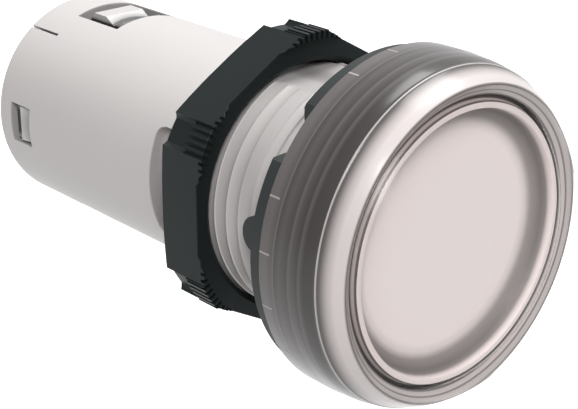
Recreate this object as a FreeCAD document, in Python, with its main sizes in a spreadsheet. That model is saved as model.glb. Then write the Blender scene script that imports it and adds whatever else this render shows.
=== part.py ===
import FreeCAD, Part
import math
import os
import Sketcher

# Panel pilot light for a 22 mm panel hole, in millimetres.
# The axis of the light runs along Y, the lens faces -Y and +Z is up.
# The origin is where the axis meets the back face of the panel gasket,
# which is the face that rests on the front of the panel.

DOCUMENT = FreeCAD.newDocument("pilot_light")
VECTOR = FreeCAD.Vector
NODES = []
NUT_SIDES = 6
RIB_GROOVES = (-2, -1, 0, 1, 2)
LAMP_COUNT = 6
RESISTOR_COUNT = 2
LEAST_CHANGE = 1e-6

# Driving dimensions. Every position along the axis ends in _y.

DIMENSIONS = {
    # how far a cut reaches past the face it opens, and a piece into the one it is fused with
    "over": 1.0,
    "weld": 0.2,
    # housing
    "body_radius": 10.3,
    "body_end_y": 42.6,
    "thread_radius": 10.9,
    "thread_end_y": 15.4,
    "neck_radius": 10.45,
    "neck_end_y": 3.2,
    "flange_radius": 13.5,
    "flange_front_y": -4.2,
    "flange_back_y": -1.6,
    "front_bore_radius": 8.4,
    "rear_bore_radius": 9.1,
    "bore_step_y": 19.0,
    "seal_centre_y": -2.9,
    "seal_section": 1.2,
    "barrel_flat": 10.15,
    "pocket_radius": 9.3,
    "pocket_sweep": 60.0,
    "pocket_end_y": 18.2,
    "pocket_round": 0.9,
    "edge_round": 0.4,
    # openings in the rear of the housing
    "latch_window_width": 6.7,
    "latch_window_front_y": 31.8,
    "latch_window_back_y": 38.2,
    "slit_angle": 35.5,
    "slit_width": 0.55,
    "slit_front_y": 37.9,
    "side_window_height": 3.9,
    "side_window_front_y": 37.2,
    "side_window_back_y": 40.5,
    "wire_window_width": 4.4,
    "wire_window_front_y": 31.0,
    "wire_window_back_y": 35.6,
    # lens
    "lens_radius": 14.83,
    "lens_wall": 1.3,
    "shoulder_y": -5.17,
    "shoulder_centre_radius": 7.02,
    "shoulder_radius": 7.7,
    "shoulder_sweep": 50.0,
    "brow_radius": 3.6,
    "brow_sweep": 84.0,
    "lens_line_angle": 36.0,
    "lens_line_width": 2.4,
    "lens_line_depth": 0.12,
    # diffuser, reflector and lamp board
    "diffuser_radius": 12.6,
    "diffuser_wall": 1.0,
    "diffuser_shoulder_y": -7.05,
    "diffuser_ledge_radius": 12.0,
    "diffuser_ledge_y": -8.55,
    "diffuser_brim_outer": 11.7,
    "diffuser_brim_inner": 11.2,
    "diffuser_brim_y": -9.2,
    "diffuser_floor_radius": 9.4,
    "diffuser_floor_y": -7.4,
    "diffuser_back_radius": 10.2,
    "reflector_wall": 0.5,
    "reflector_throat": 8.2,
    "reflector_mouth": 9.3,
    "reflector_front_y": -6.2,
    "lamp_board_radius": 12.5,
    "lamp_board_thickness": 1.0,
    "lamp_ring_radius": 5.2,
    "lamp_width": 2.8,
    "lamp_height": 0.9,
    "pin_radius": 0.35,
    "pin_spread": 2.5,
    "pin_length": 7.4,
    "pin_overhang": 0.8,
    # panel gasket
    "gasket_radius": 14.35,
    "gasket_bore_radius": 10.55,
    "gasket_gap_angle": 47.0,
    "gasket_gap_width": 4.8,
    "gasket_gap_depth": 1.95,
    "lug_angle": 86.0,
    "lug_width": 3.05,
    "lug_outer_radius": 12.1,
    "lug_length": 3.4,
    "lug_inset": 0.4,
    "lug_round": 1.45,
    # fixing nut
    "nut_flats": 25.2,
    "nut_flat_width": 11.3,
    "nut_corner_radius": 13.9,
    "nut_waist": 0.55,
    "nut_bore_radius": 10.96,
    "nut_front_y": 8.6,
    "nut_back_y": 13.2,
    "nut_land": 0.8,
    "nut_land_radius": 13.2,
    "nut_land_slope": 0.2,
    "nut_bore_chamfer": 0.5,
    "nut_back_bevel": 0.32,
    "nut_bevel_reach": 1.2,
    "rib_pitch": 2.5,
    "rib_groove": 0.28,
    "rib_depth": 0.45,
    "rib_length": 2.5,
    # terminal block and cover
    "block_front_y": 25.5,
    "block_back_y": 40.8,
    "terminal_x": 4.4,
    "terminal_z": -0.6,
    "chamber_width": 5.5,
    "chamber_top": 2.3,
    "chamber_front_y": 31.0,
    "chamber_back_y": 36.0,
    "head_bore_radius": 2.6,
    "head_bore_back_y": 38.4,
    "driver_bore_radius": 1.9,
    "shank_bore_radius": 1.7,
    "cover_hole_radius": 2.4,
    "recess_radius": 1.6,
    "recess_depth": 0.8,
    "recess_z": -5.8,
    # latch tongue and side hooks of the block
    "latch_root": 0.6,
    "latch_gap": 0.2,
    "tongue_width": 4.3,
    "tongue_inset": 0.25,
    "tongue_lead": 0.6,
    "tongue_step": 0.5,
    "tongue_bevel": 0.9,
    "tongue_hump": 1.9,
    "tongue_notch": 0.7,
    "tongue_notch_length": 1.2,
    "hook_height": 3.4,
    "hook_inset": 0.7,
    "hook_rise": 0.35,
    "hook_crest": 1.1,
    "hook_crest_length": 0.2,
    # screw terminals
    "bar_width": 5.1,
    "bar_thickness": 1.4,
    "bar_height": 6.0,
    "shank_radius": 1.25,
    "shank_clearance": 0.05,
    "shank_front_y": 27.4,
    "plate_width": 4.8,
    "plate_thickness": 0.8,
    "plate_gap": 0.3,
    "head_gap": 0.1,
    "head_radius": 2.3,
    "head_height": 1.8,
    "slot_width": 0.6,
    "slot_depth": 0.9,
    "tag_width": 1.4,
    "tag_thickness": 0.6,
    "tag_x": 6.0,
    "tag_front_y": 23.6,
    # driver board
    "board_width": 15.4,
    "board_thickness": 1.0,
    "board_front_y": -3.0,
    "board_back_y": 27.0,
    # parts soldered to the driver board
    "film_width": 10.0,
    "film_length": 11.5,
    "film_height": 6.0,
    "film_edge": 0.8,
    "film_front_y": 9.5,
    "varistor_radius": 3.3,
    "varistor_height": 2.2,
    "varistor_y": 5.9,
    "rectifier_width": 4.8,
    "rectifier_length": 4.2,
    "rectifier_height": 2.2,
    "rectifier_front_y": 3.4,
    "resistor_radius": 1.15,
    "resistor_length": 6.4,
    "resistor_y": 11.0,
    "resistor_step": 3.5,
    "smoother_radius": 2.6,
    "smoother_length": 6.0,
    "smoother_front_y": 18.0,
}


class Size:
    """A dimension: its value, and the expression that gives it."""

    def __init__(self, value, text):
        self.value = value
        self.text = text

    def __add__(self, other):
        other = size_of(other)
        return Size(self.value + other.value, "(%s + %s)" % (self.text, other.text))

    def __sub__(self, other):
        other = size_of(other)
        return Size(self.value - other.value, "(%s - %s)" % (self.text, other.text))

    def __mul__(self, other):
        other = size_of(other)
        return Size(self.value * other.value, "(%s * %s)" % (self.text, other.text))

    def __truediv__(self, other):
        other = size_of(other)
        return Size(self.value / other.value, "(%s / %s)" % (self.text, other.text))

    def __radd__(self, other):
        return size_of(other) + self

    def __rsub__(self, other):
        return size_of(other) - self

    def __rmul__(self, other):
        return size_of(other) * self

    def __neg__(self):
        return Size(-self.value, "(0 - %s)" % self.text)


def size_of(number):
    if isinstance(number, Size):
        return number
    return Size(float(number), repr(float(number)))


def sine(angle):
    return Size(math.sin(math.radians(angle.value)), "sin(%s * 1 deg)" % angle.text)


def cosine(angle):
    return Size(math.cos(math.radians(angle.value)), "cos(%s * 1 deg)" % angle.text)


def make_sheet():
    """The sheet of driving dimensions, one alias to a cell."""
    sheet = DOCUMENT.addObject("Spreadsheet::Sheet", "Sizes")
    for row, (alias, number) in enumerate(DIMENSIONS.items(), start=1):
        sheet.set("A%d" % row, alias)
        sheet.set("B%d" % row, str(number))
        sheet.setAlias("B%d" % row, alias)
    DOCUMENT.recompute()
    return {alias: Size(number, "Sizes." + alias) for alias, number in DIMENSIONS.items()}


SIZE = make_sheet()


# Helpers for bodies, sketches and features

def new_body(name):
    body = DOCUMENT.addObject("PartDesign::Body", name)
    body.Label = name
    NODES.append(body)
    return body


def plane(body, role):
    return next(item for item in body.Origin.OriginFeatures if item.Role == role)


def new_sketch(body, name, role, offset=None, turn=None):
    """A sketch on one of the body's own planes.

    offset moves it along the plane's normal, and turn rotates it about its own first axis.
    """
    sketch = body.newObject("Sketcher::SketchObject", name)
    sketch.AttachmentSupport = [(plane(body, role), "")]
    sketch.MapMode = "FlatFace"
    if turn is not None:
        rotation = FreeCAD.Rotation(VECTOR(1, 0, 0), turn.value)
        sketch.AttachmentOffset = FreeCAD.Placement(VECTOR(0, 0, 0), rotation)
        sketch.setExpression("AttachmentOffset.Rotation.Angle", turn.text)
    if offset is not None:
        sketch.AttachmentOffset = FreeCAD.Placement(VECTOR(0, 0, offset.value), FreeCAD.Rotation())
        sketch.setExpression("AttachmentOffset.Base.z", offset.text)
    return sketch


def bind(sketch, constraint, size):
    index = sketch.addConstraint(constraint)
    sketch.setExpression("Constraints[%d]" % index, size.text)


def pin_vertex(sketch, edge, end, point):
    """Hold one end of an edge at its distances from the sketch's origin."""
    bind(sketch, Sketcher.Constraint("DistanceX", edge, end, point[0].value), point[0])
    bind(sketch, Sketcher.Constraint("DistanceY", edge, end, point[1].value), point[1])


def arc_between(first, last, radius):
    """An arc from first to last. A positive radius turns left, a negative one right."""
    chord = last - first
    height = math.sqrt(max(radius * radius - chord.Length ** 2 / 4, 0))
    left = VECTOR(-chord.y, chord.x, 0).normalize()
    side = 1 if radius > 0 else -1
    centre = (first + last) / 2 + left * (side * height)
    outward = ((first + last) / 2 - centre).normalize()
    if outward.Length == 0:
        outward = left * -side
    return Part.Arc(first, centre + outward * abs(radius), last)


def outline(sketch, points, arcs=None):
    """A closed outline through the points. arcs gives the radius of the edge after a point."""
    arcs = arcs or {}
    places = [VECTOR(x.value, y.value, 0) for x, y in points]
    ends = []
    for index, first in enumerate(places):
        last = places[(index + 1) % len(places)]
        if index in arcs:
            edge = sketch.addGeometry(arc_between(first, last, arcs[index].value), False)
            leftward = arcs[index].value > 0
            ends.append((edge, 1, 2) if leftward else (edge, 2, 1))
        else:
            edge = sketch.addGeometry(Part.LineSegment(first, last), False)
            ends.append((edge, 1, 2))
    for index, (edge, start, _) in enumerate(ends):
        before, _, stop = ends[index - 1]
        sketch.addConstraint(Sketcher.Constraint("Coincident", before, stop, edge, start))
        pin_vertex(sketch, edge, start, points[index])
        if index in arcs:
            radius = arcs[index] if arcs[index].value > 0 else -arcs[index]
            bind(sketch, Sketcher.Constraint("Radius", edge, radius.value), radius)
    return sketch


def box_outline(sketch, low_x, low_y, high_x, high_y):
    corners = [(low_x, low_y), (high_x, low_y), (high_x, high_y), (low_x, high_y)]
    return outline(sketch, [(size_of(x), size_of(y)) for x, y in corners])


def circle(sketch, centre_x, centre_y, radius):
    middle = VECTOR(size_of(centre_x).value, size_of(centre_y).value, 0)
    ring = Part.Circle(middle, VECTOR(0, 0, 1), radius.value)
    edge = sketch.addGeometry(ring, False)
    pin_vertex(sketch, edge, 3, (size_of(centre_x), size_of(centre_y)))
    bind(sketch, Sketcher.Constraint("Radius", edge, radius.value), radius)
    return sketch


def turned(body, sketch, cut=False, sweep=None):
    """Turn a profile round the light's axis, as material or as a cut.

    sweep is the angle, half to each side of the sketch. Without it the turn is a full one.
    """
    kind = "PartDesign::Groove" if cut else "PartDesign::Revolution"
    feature = body.newObject(kind, sketch.Name + "_turned")
    feature.Profile = sketch
    feature.ReferenceAxis = (sketch, ["V_Axis"])
    feature.Angle = 360
    if sweep is not None:
        feature.Midplane = True
        feature.Angle = sweep.value
        feature.setExpression("Angle", sweep.text)
    DOCUMENT.recompute()
    return feature


def extruded(body, sketch, length, cut=False, both_ways=False, backwards=False):
    """Pad or pocket a sketch by a length, and check that it changed the solid."""
    before = body.Shape.Volume if not body.Shape.isNull() else 0.0
    kind = "PartDesign::Pocket" if cut else "PartDesign::Pad"
    feature = body.newObject(kind, sketch.Name + ("_cut" if cut else "_pad"))
    feature.Profile = sketch
    feature.Length = length.value
    feature.setExpression("Length", length.text)
    feature.Midplane = both_ways
    feature.Reversed = backwards
    DOCUMENT.recompute()
    change = body.Shape.Volume - before
    if (change > -LEAST_CHANGE) if cut else (change < LEAST_CHANGE):
        raise RuntimeError("%s changes nothing on %s" % (feature.Name, body.Label))
    return feature


def mirrored(body, feature, role):
    """Repeat a feature on the other side of one of the body's planes."""
    before = body.Shape.Volume
    mirror = body.newObject("PartDesign::Mirrored", feature.Name + "_mirror")
    mirror.Originals = [feature]
    mirror.MirrorPlane = (plane(body, role), [""])
    body.Tip = mirror
    DOCUMENT.recompute()
    if abs(body.Shape.Volume - before) < LEAST_CHANGE:
        raise RuntimeError("%s changes nothing on %s" % (mirror.Name, body.Label))
    return mirror


def rounded(body, feature, radius, picked):
    """Round the edges of a feature for which picked is true."""
    names = ["Edge%d" % (number + 1) for number, edge in enumerate(feature.Shape.Edges) if picked(edge)]
    fillet = body.newObject("PartDesign::Fillet", feature.Name + "_round")
    fillet.Base = (feature, names)
    fillet.Radius = radius.value
    fillet.setExpression("Radius", radius.text)
    DOCUMENT.recompute()
    return fillet


def straight_edge_at(y, longest):
    """A test for the straight edges that lie at one place along the axis."""
    def picked(edge):
        if edge.Curve.TypeId != "Part::GeomLine" or edge.Length > longest.value:
            return False
        return all(abs(vertex.Y - y.value) < LEAST_CHANGE for vertex in edge.Vertexes)
    return picked


def ringed(body, feature, count):
    """Repeat a feature at equal steps all round the light's axis."""
    pattern = body.newObject("PartDesign::PolarPattern", feature.Name + "_ring")
    pattern.Originals = [feature]
    pattern.Axis = (plane(body, "Y_Axis"), [""])
    pattern.Angle = 360
    pattern.Occurrences = count
    body.Tip = pattern
    DOCUMENT.recompute()
    return pattern


def part_object(kind, name, **sizes):
    """A plain solid whose properties are bound to the sheet."""
    solid = DOCUMENT.addObject("Part::" + kind, name)
    for key, size in sizes.items():
        size = size_of(size)
        setattr(solid, key, size.value)
        solid.setExpression(key, size.text)
    return solid


UPRIGHT = FreeCAD.Rotation()
ALONG = FreeCAD.Rotation(VECTOR(1, 0, 0), -90)
ACROSS = FreeCAD.Rotation(VECTOR(0, 1, 0), 90)


def place(solid, x=0, y=0, z=0, spin=UPRIGHT):
    """Put a solid down, standing along Z, lying along +Y or lying across along +X."""
    x, y, z = size_of(x), size_of(y), size_of(z)
    solid.Placement = FreeCAD.Placement(VECTOR(x.value, y.value, z.value), spin)
    solid.setExpression("Placement.Base.x", x.text)
    solid.setExpression("Placement.Base.y", y.text)
    solid.setExpression("Placement.Base.z", z.text)
    return solid


def rod(name, radius, length, x=0, y=0, z=0):
    """A cylinder that starts at y and runs along +Y."""
    solid = part_object("Cylinder", name, Radius=radius, Height=length)
    return place(solid, x, y, z, ALONG)


def block(name, x, y, z, width, depth, height):
    """A box from its corner with the lowest x, y and z."""
    solid = part_object("Box", name, Length=width, Width=depth, Height=height)
    return place(solid, x, y, z)


def cut(name, base, tool):
    result = DOCUMENT.addObject("Part::Cut", name)
    result.Base = base
    result.Tool = tool
    return result


def joined(name, solids):
    result = DOCUMENT.addObject("Part::MultiFuse", name)
    result.Shapes = solids
    return result


def grouped(name, solids):
    """Loose identical solids in one node."""
    result = DOCUMENT.addObject("Part::Compound", name)
    result.Links = solids
    return result


def keep(solid, name):
    solid.Label = name
    NODES.append(solid)
    return solid


# Housing: flange, threaded barrel and rear tube in one moulding

def make_housing():
    s = SIZE
    body = new_body("housing")
    groove_front = s["seal_centre_y"] - s["seal_section"] / 2
    groove_back = s["seal_centre_y"] + s["seal_section"] / 2
    groove_radius = s["flange_radius"] - s["seal_section"]
    points = [
        (s["front_bore_radius"], s["flange_front_y"]),
        (s["flange_radius"], s["flange_front_y"]),
        (s["flange_radius"], groove_front),
        (groove_radius, groove_front),
        (groove_radius, groove_back),
        (s["flange_radius"], groove_back),
        (s["flange_radius"], s["flange_back_y"]),
        (s["neck_radius"], s["flange_back_y"]),
        (s["neck_radius"], s["neck_end_y"]),
        (s["thread_radius"], s["neck_end_y"]),
        (s["thread_radius"], s["thread_end_y"]),
        (s["body_radius"], s["thread_end_y"]),
        (s["body_radius"], s["body_end_y"] - s["edge_round"]),
        (s["body_radius"] - s["edge_round"], s["body_end_y"]),
        (s["rear_bore_radius"], s["body_end_y"]),
        (s["rear_bore_radius"], s["bore_step_y"]),
        (s["front_bore_radius"], s["bore_step_y"]),
    ]
    section = outline(new_sketch(body, "housing_section", "XY_Plane"), points, {12: s["edge_round"]})
    turned(body, section)

    # flat along the top of the threaded barrel
    flat = new_sketch(body, "barrel_flat", "YZ_Plane")
    box_outline(flat, 0, s["barrel_flat"], s["thread_end_y"], s["thread_radius"] + s["over"])
    extruded(body, flat, s["thread_radius"] * 2, cut=True, both_ways=True)

    # pockets in the sides of the tube, just behind the thread, with round rear corners
    pocket = new_sketch(body, "side_pocket", "XY_Plane")
    box_outline(pocket, s["pocket_radius"], s["thread_end_y"],
                s["body_radius"] + s["over"], s["pocket_end_y"])
    pocket_cut = turned(body, pocket, cut=True, sweep=s["pocket_sweep"])
    both_pockets = mirrored(body, pocket_cut, "YZ_Plane")
    depth = s["body_radius"] - s["pocket_radius"]
    rounded(body, both_pockets, s["pocket_round"], straight_edge_at(s["pocket_end_y"], depth * 2))

    # window over the latch tongue
    window = new_sketch(body, "latch_window", "XY_Plane")
    half = s["latch_window_width"] / 2
    box_outline(window, -half, s["latch_window_front_y"], half, s["latch_window_back_y"])
    extruded(body, window, s["body_radius"] * 2, cut=True, backwards=True)

    # two slits that free the flap behind the window
    slit = new_sketch(body, "flap_slit", "YZ_Plane", turn=s["slit_angle"])
    box_outline(slit, s["slit_front_y"], s["rear_bore_radius"] - s["over"],
                s["body_end_y"] + s["over"], s["body_radius"] + s["over"])
    slit_cut = extruded(body, slit, s["slit_width"], cut=True, both_ways=True)
    mirrored(body, slit_cut, "YZ_Plane")

    # windows over the side hooks
    side = new_sketch(body, "side_window", "YZ_Plane")
    half = s["side_window_height"] / 2
    box_outline(side, s["side_window_front_y"], -half, s["side_window_back_y"], half)
    extruded(body, side, s["body_radius"] * 3, cut=True, both_ways=True)

    # windows under the terminals, where the wires go in
    wire = new_sketch(body, "wire_window", "XY_Plane")
    half = s["wire_window_width"] / 2
    box_outline(wire, s["terminal_x"] - half, s["wire_window_front_y"],
                s["terminal_x"] + half, s["wire_window_back_y"])
    wire_cut = extruded(body, wire, s["body_radius"] * 2, cut=True)
    mirrored(body, wire_cut, "YZ_Plane")
    return body


# Lens: a clear domed cap with a thin even wall

def lens_profile(inset):
    """Points and arcs of the lens surface, moved inwards by inset."""
    s = SIZE
    centre_r, centre_y = s["shoulder_centre_radius"], s["shoulder_y"]
    outer = s["shoulder_radius"]
    sweep, end = s["shoulder_sweep"], s["brow_sweep"]
    brow_r = centre_r + (outer - s["brow_radius"]) * cosine(sweep)
    brow_y = centre_y - (outer - s["brow_radius"]) * sine(sweep)
    radius, brow = outer - inset, s["brow_radius"] - inset
    points = [
        (centre_r + radius, centre_y),
        (centre_r + radius * cosine(sweep), centre_y - radius * sine(sweep)),
        (brow_r + brow * cosine(end), brow_y - brow * sine(end)),
    ]
    crown = points[2][0] / cosine(end)
    top_y = points[2][1] - crown * (1 - sine(end))
    points.append((size_of(0), top_y))
    return points, [radius, brow, crown]


def make_lens():
    s = SIZE
    body = new_body("lens_cap")
    outside, outer_arcs = lens_profile(size_of(0))
    inside, inner_arcs = lens_profile(s["lens_wall"])
    points = [(s["lens_radius"], s["flange_back_y"])]
    points += outside
    points += inside[::-1]
    points += [(s["flange_radius"], s["flange_front_y"]), (s["flange_radius"], s["flange_back_y"])]
    arcs = {1: -outer_arcs[0], 2: -outer_arcs[1], 3: -outer_arcs[2]}
    arcs.update({5: inner_arcs[2], 6: inner_arcs[1], 7: inner_arcs[0]})
    section = outline(new_sketch(body, "lens_section", "XY_Plane"), points, arcs)
    turned(body, section)

    # fine line turned into the shoulder
    middle, half = s["lens_line_angle"], s["lens_line_width"] / 2
    inside = s["shoulder_radius"] - s["lens_line_depth"]
    outside = s["shoulder_radius"] + s["lens_line_depth"]
    line = [(s["shoulder_centre_radius"] + reach * cosine(angle), s["shoulder_y"] - reach * sine(angle))
            for reach, angle in ((inside, middle), (outside, middle - half), (outside, middle + half))]
    turned(body, outline(new_sketch(body, "lens_line", "XY_Plane"), line), cut=True)
    return body


def make_diffuser():
    """A white dish: a flat floor that bends up to a low brim, on a wall that widens to its rim."""
    s = SIZE
    body = new_body("diffuser_cup")
    board_front = s["flange_front_y"] - s["lamp_board_thickness"]
    rim, wall = s["diffuser_radius"], s["diffuser_wall"]
    brim, brim_y, floor_y = s["diffuser_brim_inner"], s["diffuser_brim_y"], s["diffuser_floor_y"]
    points = [
        (rim, board_front),
        (rim, s["diffuser_shoulder_y"]),
        (s["diffuser_ledge_radius"], s["diffuser_ledge_y"]),
        (s["diffuser_brim_outer"], brim_y),
        (brim, brim_y),
        (s["diffuser_floor_radius"], floor_y),
        (size_of(0), floor_y),
        (size_of(0), floor_y + wall),
        (s["diffuser_back_radius"], floor_y + wall),
        (rim - wall, s["diffuser_shoulder_y"]),
        (rim - wall, board_front),
    ]
    arcs = {4: brim - s["diffuser_floor_radius"]}
    section = outline(new_sketch(body, "diffuser_section", "XY_Plane"), points, arcs)
    turned(body, section)
    return body


def make_reflector():
    """A white cone that stands on the lamp board inside the diffuser."""
    s = SIZE
    body = new_body("reflector_cone")
    board_front = s["flange_front_y"] - s["lamp_board_thickness"]
    throat, mouth, wall = s["reflector_throat"], s["reflector_mouth"], s["reflector_wall"]
    points = [
        (throat, board_front),
        (mouth, s["reflector_front_y"]),
        (mouth - wall, s["reflector_front_y"]),
        (throat - wall, board_front),
    ]
    turned(body, outline(new_sketch(body, "reflector_section", "XY_Plane"), points))
    return body


def make_seal():
    """The O-ring between the flange and the lens."""
    s = SIZE
    radius = s["seal_section"] / 2
    ring = part_object("Torus", "lens_seal", Radius1=s["flange_radius"] - radius, Radius2=radius)
    place(ring, y=s["seal_centre_y"], spin=ALONG)
    return keep(ring, "lens_seal")


def make_gasket():
    """The flat rubber ring behind the flange, with its notch and locating lug."""
    s = SIZE
    body = new_body("panel_gasket")
    bore, rim, front = s["gasket_bore_radius"], s["gasket_radius"], s["flange_back_y"]
    section = new_sketch(body, "gasket_section", "XY_Plane")
    box_outline(section, bore, front, rim, 0)
    turned(body, section)

    notch = new_sketch(body, "gasket_notch", "YZ_Plane", turn=-s["gasket_gap_angle"])
    box_outline(notch, front - s["over"], rim - s["gasket_gap_depth"], s["over"], rim + s["over"])
    extruded(body, notch, s["gasket_gap_width"], cut=True, both_ways=True)

    lug = new_sketch(body, "gasket_lug", "YZ_Plane", turn=-s["lug_angle"])
    tip = s["lug_length"]
    box_outline(lug, front / 2, bore + s["lug_inset"], tip, s["lug_outer_radius"])
    lug_pad = extruded(body, lug, s["lug_width"], both_ways=True)
    rounded(body, lug_pad, s["lug_round"], straight_edge_at(tip, s["lug_width"] / 2))
    return body


# Fixing nut: six flats, cut corners and a ribbed gripping edge

def make_nut():
    s = SIZE
    body = new_body("fixing_nut")
    front, back, land = s["nut_front_y"], s["nut_back_y"], s["nut_land"]
    bore, corner = s["nut_bore_radius"], s["nut_corner_radius"]
    chamfer = s["nut_bore_chamfer"]
    points = [
        (bore + chamfer, front),
        (s["nut_land_radius"] - s["nut_land_slope"], front),
        (s["nut_land_radius"], front - land),
        (corner, front - land),
        (corner, back - s["nut_back_bevel"]),
        (corner - s["nut_bevel_reach"], back),
        (bore + chamfer, back),
        (bore, back - chamfer),
        (bore, front + chamfer),
    ]
    turned(body, outline(new_sketch(body, "nut_section", "XY_Plane"), points))

    # one flat, then all six
    turn = size_of(180 / NUT_SIDES)
    flat = new_sketch(body, "nut_flat", "YZ_Plane", turn=-turn)
    over, half = s["over"], s["nut_flat_width"] / 2
    box_outline(flat, front - land - over, s["nut_flats"] / 2, back + over, corner + over)
    ringed(body, extruded(body, flat, half * 2, cut=True, both_ways=True), NUT_SIDES)

    # waist of a corner behind the ribs, between the ends of two flats
    waist = new_sketch(body, "corner_waist", "XZ_Plane", offset=-back)
    sides = [(reach * sine(turn) - half * cosine(turn), reach * cosine(turn) + half * sine(turn))
             for reach in (s["nut_flats"] / 2 - s["nut_waist"], corner + over)]
    (low_x, low_z), (high_x, high_z) = sides
    outline(waist, [(-low_x, low_z), (low_x, low_z), (high_x, high_z), (-high_x, high_z)])
    start, depth = front - land, s["rib_depth"]
    waist_cut = extruded(body, waist, back - start - s["rib_length"], cut=True, backwards=True)
    ringed(body, waist_cut, NUT_SIDES)

    # grooves between the teeth of the front step, all round
    tooth = new_sketch(body, "tooth_groove", "YZ_Plane")
    box_outline(tooth, start - over, s["nut_land_radius"] - over, start + depth, corner + over)
    tooth_cut = extruded(body, tooth, s["rib_groove"], cut=True, both_ways=True)
    ringed(body, tooth_cut, round(360 / s["rib_pitch"].value))

    # grooves between the ribs of a corner, each repeated on every corner
    for place_in_corner in RIB_GROOVES:
        groove = new_sketch(body, "rib_groove", "YZ_Plane", turn=s["rib_pitch"] * place_in_corner)
        box_outline(groove, start - over, corner - depth, start + s["rib_length"] + over, corner + over)
        groove_cut = extruded(body, groove, s["rib_groove"], cut=True, both_ways=True)
        ringed(body, groove_cut, NUT_SIDES)
    return body


# Terminal block: plugs into the rear of the tube and latches in its windows

def make_terminal_block():
    s = SIZE
    body = new_body("terminal_block")
    front, back = s["block_front_y"], s["block_back_y"]
    x, z = s["terminal_x"], s["terminal_z"]

    disc = new_sketch(body, "block_outline", "XZ_Plane", offset=-back)
    circle(disc, 0, 0, s["rear_bore_radius"])
    extruded(body, disc, back - front)

    # tongue under the latch window: hump, notch and ramp
    tongue = new_sketch(body, "latch_tongue", "YZ_Plane")
    top = s["body_radius"] - s["tongue_inset"]
    root_z = s["rear_bore_radius"] - s["latch_root"]
    rear = s["latch_window_back_y"] - s["latch_gap"]
    lead = s["latch_window_front_y"] + s["tongue_lead"]
    crest = rear - s["tongue_bevel"]
    points = [
        (rear, root_z),
        (rear, root_z + s["tongue_step"]),
        (crest, top),
        (crest - s["tongue_hump"], top),
        (crest - s["tongue_hump"] - s["tongue_notch_length"], top - s["tongue_notch"]),
        (lead, top),
        (lead, root_z),
    ]
    outline(tongue, points)
    extruded(body, tongue, s["tongue_width"], both_ways=True)

    # hooks in the side windows
    hook = new_sketch(body, "side_hook", "XY_Plane")
    hook_front = s["side_window_front_y"] + s["latch_gap"]
    hook_back = s["side_window_back_y"] - s["latch_gap"]
    inset = s["body_radius"] - s["hook_inset"]
    crest = hook_back - s["hook_crest"]
    points = [
        (root_z, hook_front),
        (inset, hook_front),
        (inset + s["hook_rise"], crest),
        (inset, crest + s["hook_crest_length"]),
        (inset, hook_back),
        (root_z, hook_back),
    ]
    outline(hook, points)
    hook_pad = extruded(body, hook, s["hook_height"], both_ways=True)
    mirrored(body, hook_pad, "YZ_Plane")

    # chamber, open at the bottom for the wire
    chamber = new_sketch(body, "wire_chamber", "XY_Plane", offset=s["chamber_top"])
    half = s["chamber_width"] / 2
    box_outline(chamber, x - half, s["chamber_front_y"], x + half, s["chamber_back_y"])
    chamber_cut = extruded(body, chamber, s["body_radius"] * 2, cut=True)
    mirrored(body, chamber_cut, "YZ_Plane")

    # seat of the contact bar, ahead of the chamber
    seat = new_sketch(body, "bar_seat", "XY_Plane", offset=s["chamber_top"])
    half = s["bar_width"] / 2
    seat_front = s["chamber_front_y"] - s["bar_thickness"]
    box_outline(seat, x - half, seat_front, x + half, s["chamber_front_y"])
    seat_cut = extruded(body, seat, s["bar_height"], cut=True)
    mirrored(body, seat_cut, "YZ_Plane")

    # bores for the screw's shank, its head and the screwdriver
    for name, radius, start, stop in (
        ("shank_bore", s["shank_bore_radius"], front, seat_front),
        ("head_bore", s["head_bore_radius"], s["chamber_back_y"], s["head_bore_back_y"]),
        ("driver_bore", s["driver_bore_radius"], s["head_bore_back_y"], back),
    ):
        hole = new_sketch(body, name, "XZ_Plane", offset=-stop)
        circle(hole, x, z, radius)
        hole_cut = extruded(body, hole, stop - start, cut=True, backwards=True)
        mirrored(body, hole_cut, "YZ_Plane")

    # channel for the tag that runs forward to the driver board
    tag = new_sketch(body, "tag_channel", "XY_Plane", offset=s["board_thickness"] / 2)
    half = s["tag_width"] / 2
    box_outline(tag, s["tag_x"] - half, front - s["over"], s["tag_x"] + half, seat_front)
    tag_cut = extruded(body, tag, s["tag_thickness"], cut=True, backwards=True)
    mirrored(body, tag_cut, "YZ_Plane")

    # slot that takes the end of the driver board
    slot = new_sketch(body, "board_slot", "XY_Plane")
    half = s["board_width"] / 2
    box_outline(slot, -half, front - s["over"], half, s["board_back_y"])
    extruded(body, slot, s["board_thickness"], cut=True, both_ways=True)
    return body


def make_rear_cover():
    """The disc that closes the rear, with a screwdriver hole over each screw."""
    s = SIZE
    body = new_body("rear_cover")
    back = s["body_end_y"]
    disc = new_sketch(body, "cover_outline", "XZ_Plane", offset=-back)
    circle(disc, 0, 0, s["rear_bore_radius"])
    extruded(body, disc, back - s["block_back_y"])
    hole = new_sketch(body, "cover_hole", "XZ_Plane", offset=-back)
    circle(hole, s["terminal_x"], s["terminal_z"], s["cover_hole_radius"])
    hole_cut = extruded(body, hole, back - s["block_back_y"], cut=True, backwards=True)
    mirrored(body, hole_cut, "YZ_Plane")

    # shallow round recess below the two holes
    recess = new_sketch(body, "cover_recess", "XZ_Plane", offset=-back)
    circle(recess, 0, s["recess_z"], s["recess_radius"])
    extruded(body, recess, s["recess_depth"], cut=True, backwards=True)
    return body


# Screw terminals, left and right

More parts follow.
